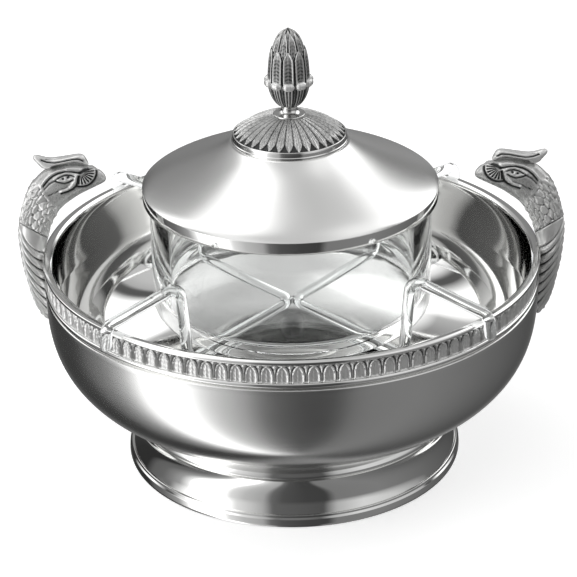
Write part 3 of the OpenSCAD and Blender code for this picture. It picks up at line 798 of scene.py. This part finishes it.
# ---------------------------------------------------------------- lid
def build_lid():
    """The dome, the band around it, the bezel inside it and the ring around the rosette."""
    r, z0, z1, thick = dome_hi[0], band_hi[2], dome_hi[2], 1.3
    crown = ring_hi[0] + 0.4
    outer = bezier((r, z0), (r - 4.8, z0 + 4.6), (crown + 12, z1 - 8.4), (crown, z1), 60)
    inner = bezier((r - thick, z0), (r - 5.5, z0 + 3.3), (crown + 12, z1 - 9.7), (crown, z1 - thick), 60)
    section = np.vstack([outer, [(STUD_HOLE, z1), (STUD_HOLE, z1 - thick)], inner[::-1]])
    verts, faces = spin(section, ROUND_BIG)
    piece("lid_dome_spun", verts, faces, "lid", ["lid_dome"], [DOME, POLISHED],
          rows=row_materials(section, ROUND_BIG, len(outer) + 1), sharp=50)

    lo, hi, inner_r = band_lo[2], band_hi[2], bezel_hi[0]
    section = rounded([(inner_r, lo, 0.2), (r, lo, 0.5), (r, hi, 0.35), (inner_r, hi, 0.1)])
    verts, faces = spin(section, ROUND_BIG)
    piece("lid_edge_band", verts, faces, "lid", ["lid_band"], [POLISHED])

    seat, drop, top, drop_in = bezel_hi[2] - 1.2, bezel_lo[2], bezel_hi[2], BEZEL_R - 1.2
    section = rounded([(drop_in, drop, 0.4), (BEZEL_R, drop, 0.4), (BEZEL_R, seat, 0.5),
                       (inner_r, seat, 0.1), (inner_r, top, 0.1), (drop_in, top, 0.4)])
    verts, faces = spin(section, ROUND_SMALL)
    piece("lid_bezel_ring", verts, faces, "lid", ["lid_bezel"], [POLISHED])

    z0, z1, r, inner_r = ring_lo[2], ring_hi[2], ring_hi[0], rose_hi[0]
    section = rounded([(inner_r, z0, 0.05), (r, z0, 0.3), (r, z0 + 0.9, 0.4), (r - 0.35, z0 + 1.2, 0.2),
                       (r - 0.3, z1 - 0.9, 0.4), (r - 0.6, z1, 0.5), (inner_r, z1, 0.4)])
    verts, faces = spin(section, ROUND_SMALL)
    piece("rosette_collar", verts, faces, "lid", ["rosette_ring"], [POLISHED])


def build_rosette():
    """Pointed ribbed leaves that lie from the stem down to the ring, with small gaps between their tips."""
    leaves, per, rows = 34, 22, 72
    z0, z1, r0 = rose_lo[2], rose_hi[2], rose_hi[0]
    flat = stem_hi[0]
    top = bezier((r0, z0 + 2.6), (r0 - 5, z0 + 8.06), (flat + 4, z1 - 0.6), (flat, z1), rows - 1)
    u = leaf_places(leaves, per)
    U, T = np.meshgrid(np.abs(u), np.linspace(0, 1, rows))
    reach = np.clip((T - 0.015) / 0.20, 0, 1) ** 0.85
    edge = reach - U
    leaf = smooth(edge, -0.04, 0.07)
    rib = hill(U, 0.10) + 0.8 * hill(U - 0.46, 0.10) * smooth(T, 0.14, 0.24)
    fine = 0.10 * np.cos(T * 170 + U * 7) + 0.08 * np.cos(T * 61 + u[None, :] * 11)
    between = hill(U - 1, 0.13)
    h = leaf * (0.40 + 0.52 * rib + fine - 0.6 * between) - (1 - leaf) * 0.25
    h += 0.35 * leaf * hill(edge, 0.14)
    push = 0.80 * (h - 0.35) * (1 - 0.45 * T)
    section = np.vstack([top, [(STUD_HOLE, z1), (STUD_HOLE, z0), (r0, z0)]])
    flat_rows = np.zeros((3, leaves * per))
    verts, faces = spin(section, leaves * per, np.vstack([push, flat_rows]))
    wear_and_painted_light = np.vstack([(0.22 + 0.64 * h) * (1 - 0.18 * smooth(T, 0.12, 0.30)), flat_rows + 0.3])
    piece("rosette_leaves", verts, faces, "lid", ["lid_rosette"], [ROSETTE],
          wear_and_painted_light=wear_and_painted_light, sharp=70)


def build_stem():
    """The flared spool between the rosette and the calyx."""
    z0, z1, r = stem_lo[2], stem_hi[2], stem_hi[0]
    waist = 3.5
    flare = bezier((r - 0.3, z0 + 1.0), (waist + 0.7, z0 + 1.5), (waist, z0 + 2.4), (waist, z0 + 3.6), 16)
    lip = bezier((waist, z0 + 3.6), (waist, z0 + 4.3), (waist + 0.5, z0 + 4.6), (waist + 0.9, z1), 8)[1:]
    bulge = bezier((r - 0.3, z0), (r + 0.1, z0), (r + 0.1, z0 + 1), (r - 0.3, z0 + 1), 6)[1:-1]
    section = np.vstack([[(STUD_HOLE, z0), (r - 0.3, z0)], bulge, flare, lip, [(STUD_HOLE, z1)]])
    verts, faces = spin(section, 128)
    piece("finial_spool", verts, faces, "lid", ["finial_stem"], [STEM], sharp=50)


def knob(centre, half):
    """A curled leaf tip: a round knob with a shallow groove down its middle."""
    a = np.linspace(-math.pi / 2, math.pi / 2, 15)[1:-1, None]
    b = (np.arange(26) * TAU / 26)[None, :]
    shape = np.stack([np.cos(a) * np.cos(b), np.sin(a) + 0 * b, np.cos(a) * np.sin(b)], -1)
    groove = 1 - 0.12 * hill(shape[..., 1:2], 0.22) - 0.10 * np.abs(shape[..., 1:2]) ** 3
    return capped(np.array(centre) + np.array(half) * shape * groove)


def build_calyx():
    """Ten fluted leaves around the cone's foot; their tips curl out in bright knobs."""
    leaves, per, rows = 10, 36, 40
    z0, z1, tip = calyx_lo[2], calyx_hi[2], calyx_hi[0]
    height = z1 - z0 - 0.9
    cup_r = tip - 2.4
    cup = bezier((4.6, z0), (cup_r - 1.2, z0 + 0.18 * height), (cup_r + 0.1, z0 + 0.55 * height),
                 (cup_r + 0.5, z0 + height - 1.6), rows - 1)
    U, T = np.meshgrid(np.abs(leaf_places(leaves, per)), np.linspace(0, 1, rows))
    flute = 0.5 + 0.5 * np.cos(4 * math.pi * U)
    h = 0.85 * flute - 0.55 * hill(U - 1, 0.14)
    push = (0.42 * h - 0.12) * (0.45 + 0.55 * T)
    inner = cup[::-1] - np.array([1.6, 0])
    inner[:, 0] = np.maximum(inner[:, 0], 1.6)
    verts, faces = spin(np.vstack([cup, inner]), leaves * per, np.vstack([push, np.zeros_like(push)]))
    parts, allf = [verts], [tuple(f) for f in faces]
    wear_and_painted_light = [np.vstack([0.12 + 0.55 * h, np.full_like(h, 0.3)]).ravel()]
    base = len(verts)
    tips, tip_faces = knob((tip - 2.1, 0, z1 - 2.2), (2.1, 2.85, 2.0))
    # the knobs are made lighter towards their tops: a painted highlight
    rise = 0.62 + 0.3 * smooth(tips[:, 2], z1 - 4.0, z1 - 1.6)
    for i in range(leaves):
        parts.append(tips @ turned((i + 0.5) * 360 / leaves))
        allf += [tuple(j + base for j in f) for f in tip_faces]
        base += len(tips)
        wear_and_painted_light.append(rise)
    piece("calyx_leaves", np.vstack(parts), allf, "lid", ["finial_calyx"], [CONE],
          wear_and_painted_light=np.concatenate(wear_and_painted_light), sharp=70, weld=False)


def build_cone():
    """A pine cone of long ribbed scales in rows that overlap towards the tip."""
    count, per, rows = 10, 48, 170
    z0, z1 = calyx_lo[2] + 3, cone_hi[2]
    cr = cone_hi[0]
    cup_top = calyx_hi[2] - 0.9
    tall = z1 - cup_top
    body = bezier((cr, cup_top - 1), (cr - 0.1, cup_top + 0.56 * tall), (0.58 * cr, z1 + 0.1), (0, z1),
                  rows - 1)
    rise = ((body[:, 1] - cup_top) / tall)[:, None] * np.ones((1, count * per))
    ang = np.arange(count * per) / per
    h = np.full((rows, count * per), -1.3)
    wear_and_painted_light = np.zeros_like(h)
    # start and end as shares of the cone's height, offset in scales, level in millimetres
    for start, end, offset, level in (
            (-0.30, 0.61, 0.0, 0.0), (0.10, 0.93, 0.5, -0.55), (0.45, 1.01, 0.0, -0.8)):
        u = np.abs(((ang + offset) % 1.0) * 2 - 1)[None, :]
        k = np.clip((rise - start) / (end - start), 0, 1)
        width = np.minimum(1.0, 2.4 * np.sqrt(1 - k)) * 0.96
        edge = width - u
        inside = (edge > 0) & (rise >= start) & (rise <= end)
        bars = 0.20 * hill(u, 0.10) + 0.95 * hill(edge - 0.24, 0.14)
        scale = level + 0.30 * smooth(k, 0.3, 1.0) + 0.45 * bars - 0.30 * hill(edge, 0.09)
        shade = 0.30 + 0.60 * bars + 0.07 * np.cos(90 * rise + 5 * u) + 0.30 * smooth(k, 0.75, 1.0)
        wear_and_painted_light = np.where(inside & (scale > h), shade - 0.8 * hill(edge, 0.13), wear_and_painted_light)
        h = np.where(inside & (scale > h), scale, h)
    push = (0.8 * h - 0.50) * np.minimum(1, (1 - np.linspace(0, 1, rows)[:, None]) * 14 + 0.05)
    root = [(STUD_HOLE, z0), (cr - 3.2, z0), (cr - 2.2, cup_top - 2.5)]
    lead = np.zeros((len(root), count * per))
    verts, faces = spin(np.vstack([root, body]), count * per, np.vstack([lead, push]), closed=False)
    piece("cone_scales", verts, faces, "lid", ["finial_cone"], [CONE],
          wear_and_painted_light=np.vstack([lead, wear_and_painted_light]), sharp=70)


def finish_cad_nodes():
    """The stud, washer and nut keep their CAD meshes, in plain steel."""
    for node in ("finial_stud", "finial_washer", "finial_nut"):
        mesh = NODES[node].data
        mesh.materials.clear()
        mesh.materials.append(STEEL)


# ---------------------------------------------------------------- studio
def build_world():
    """Soft boxes left and right of a dark gap at the front, in three levels, under an even ceiling.

    Each level is a ring of (degrees, brightness); 0 is towards the front and 90 to the right."""
    world = bpy.data.worlds.new("studio")
    bpy.context.scene.world = world
    n = Nodes(world, "ShaderNodeOutputWorld")
    place = n.add("ShaderNodeTexCoord").outputs["Generated"]
    xyz = n.add("ShaderNodeSeparateXYZ")
    n.link(place, xyz.inputs[0])
    x, y, z = xyz.outputs
    turn = n.math("ADD", n.math("DIVIDE", n.math("ARCTAN2", x, n.math("MULTIPLY", y, -1.0)), TAU), 0.5)

    def ring(*stops):
        return n.ramp(turn, [((degrees + 180) / 360, value) for degrees, value in stops])

    low = ring((-180, .20), (-167, .22), (-155, .09), (-148, .04), (-135, .03), (-118, .03), (-110, .12),
               (-100, .14), (-92, .22), (-84, .35), (-77, .9), (-72, 1.8), (-52, 1.8), (-44, .78),
               (-34, .52), (-21, .38), (-16, .14), (-8, .08), (8, .055), (22, .05), (28, .19), (60, .21),
               (90, .16), (105, .13), (125, .10), (148, .07), (158, .12), (165, .3), (180, .2))
    high = ring((-180, .25), (-154, .25), (-147, .33), (-134, .5), (-127, 1.4), (-109, 1.4), (-101, .5),
                (-97, .10), (-92, .10), (-86, .8), (-72, 1.7), (-50, 1.7), (-40, .8), (-22, .42),
                (-15, .12), (20, .08), (29, .45), (48, .70), (90, .55), (97, .45), (100, .10), (105, .10),
                (111, 1.2), (124, 1.6), (147, 1.6), (152, .5), (157, .20), (180, .25))
    upper = ring((-180, .6), (-165, 1.0), (-155, 1.8), (-130, 1.8), (-105, 1.0), (-60, .9), (-25, .7),
                 (0, .6), (30, .6), (70, .8), (110, 1.0), (130, .9), (142, .6), (160, .5), (180, .6))
    ceiling = 0.58

    def blend(lower, higher, start, end):
        """Go over from one level to the next; start and end are heights from 0, straight down, to 1."""
        mix = n.add("ShaderNodeMix", data_type="FLOAT")
        height = n.math("ADD", n.math("MULTIPLY", z, 0.5), 0.5)
        n.link(n.ramp(height, [(start, 0.0), (end, 1.0)]), mix.inputs[0])
        n.link(lower, mix.inputs[2])
        if isinstance(higher, float):
            mix.inputs[3].default_value = higher
        else:
            n.link(higher, mix.inputs[3])
        return mix.outputs[0]

    light = blend(low, high, 0.54, 0.63)
    light = blend(light, upper, 0.86, 0.925)
    light = blend(light, ceiling, 0.965, 0.995)
    background = n.add("ShaderNodeBackground")
    n.link(light, background.inputs[0])
    n.link(background.outputs[0], n.out.inputs[0])


def build_stage():
    """A pale floor that curves up into a pale wall all round."""
    ground = -0.3
    section = [(r, ground) for r in (0, 400, 900, 2500, 5200)]
    section += [tuple(p) for p in bezier((5200, ground), (6400, ground), (7000, 600), (7000, 1800), 10)[1:]]
    section += [(7000, 4200), (6000, 6000), (3000, 7200), (0, 7400)]
    verts, faces = spin(np.array(section), 96, closed=False)
    mesh = bpy.data.meshes.new("studio_floor")
    mesh.from_pydata((verts * MM).tolist(), [], faces.tolist())
    bm = bmesh.new()
    bm.from_mesh(mesh)
    bmesh.ops.remove_doubles(bm, verts=bm.verts, dist=1e-6)
    bmesh.ops.recalc_face_normals(bm, faces=bm.faces)
    bm.to_mesh(mesh)
    bm.free()
    mesh.polygons.foreach_set("use_smooth", np.ones(len(mesh.polygons), bool))
    material, n = new_material("pale_paper")
    place = n.add("ShaderNodeTexCoord").outputs["Object"]
    shader = n.add("ShaderNodeBsdfPrincipled", in_Roughness=0.9)
    shader.inputs["Specular IOR Level"].default_value = 0.0
    shader.inputs["Emission Color"].default_value = (1, 1, 1, 1)
    shader.inputs["Emission Strength"].default_value = 0.55
    n.link(n.ramp(n.noise(place, 3, 2.0), [(0.3, 0.90), (0.7, 0.92)]), shader.inputs["Base Color"])
    n.link(shader.outputs[0], n.out.inputs[0])
    mesh.materials.append(material)
    floor = bpy.data.objects.new("studio_floor", mesh)
    bpy.context.scene.collection.objects.link(floor)
    floor.visible_glossy = False
    floor.visible_diffuse = False
    floor.visible_shadow = False


def build_camera():
    """A long lens from the front and a little above; its place is in metres, its height from the rim."""
    pitch, yaw, roll = (math.radians(a) for a in (25.93, -0.71, -0.97))
    cam_x, cam_y, cam_z = 0.0091, -0.8623, RIM_Z * MM + 0.3985
    ahead = Vector((math.sin(yaw) * math.cos(pitch), math.cos(yaw) * math.cos(pitch), -math.sin(pitch)))
    right = ahead.cross(Vector((0, 0, 1))).normalized()
    up = right.cross(ahead)
    right, up = right * math.cos(roll) + up * math.sin(roll), up * math.cos(roll) - right * math.sin(roll)
    data = bpy.data.cameras.new("camera")
    data.lens, data.sensor_width = 133.5, 36
    data.clip_start, data.clip_end = 0.05, 50
    camera = bpy.data.objects.new("camera", data)
    camera.matrix_world = Matrix((
        (right.x, up.x, -ahead.x, cam_x), (right.y, up.y, -ahead.y, cam_y),
        (right.z, up.z, -ahead.z, cam_z), (0, 0, 0, 1)))
    bpy.context.scene.collection.objects.link(camera)
    bpy.context.scene.camera = camera


build_bowl()
build_rim()
build_frieze()
build_wire()
build_foot()
build_griffins()
build_cradle()
build_dish()
build_lid()
build_rosette()
build_stem()
build_calyx()
build_cone()
finish_cad_nodes()
build_world()
build_stage()
build_camera()
bpy.context.scene.view_settings.view_transform = "Standard"
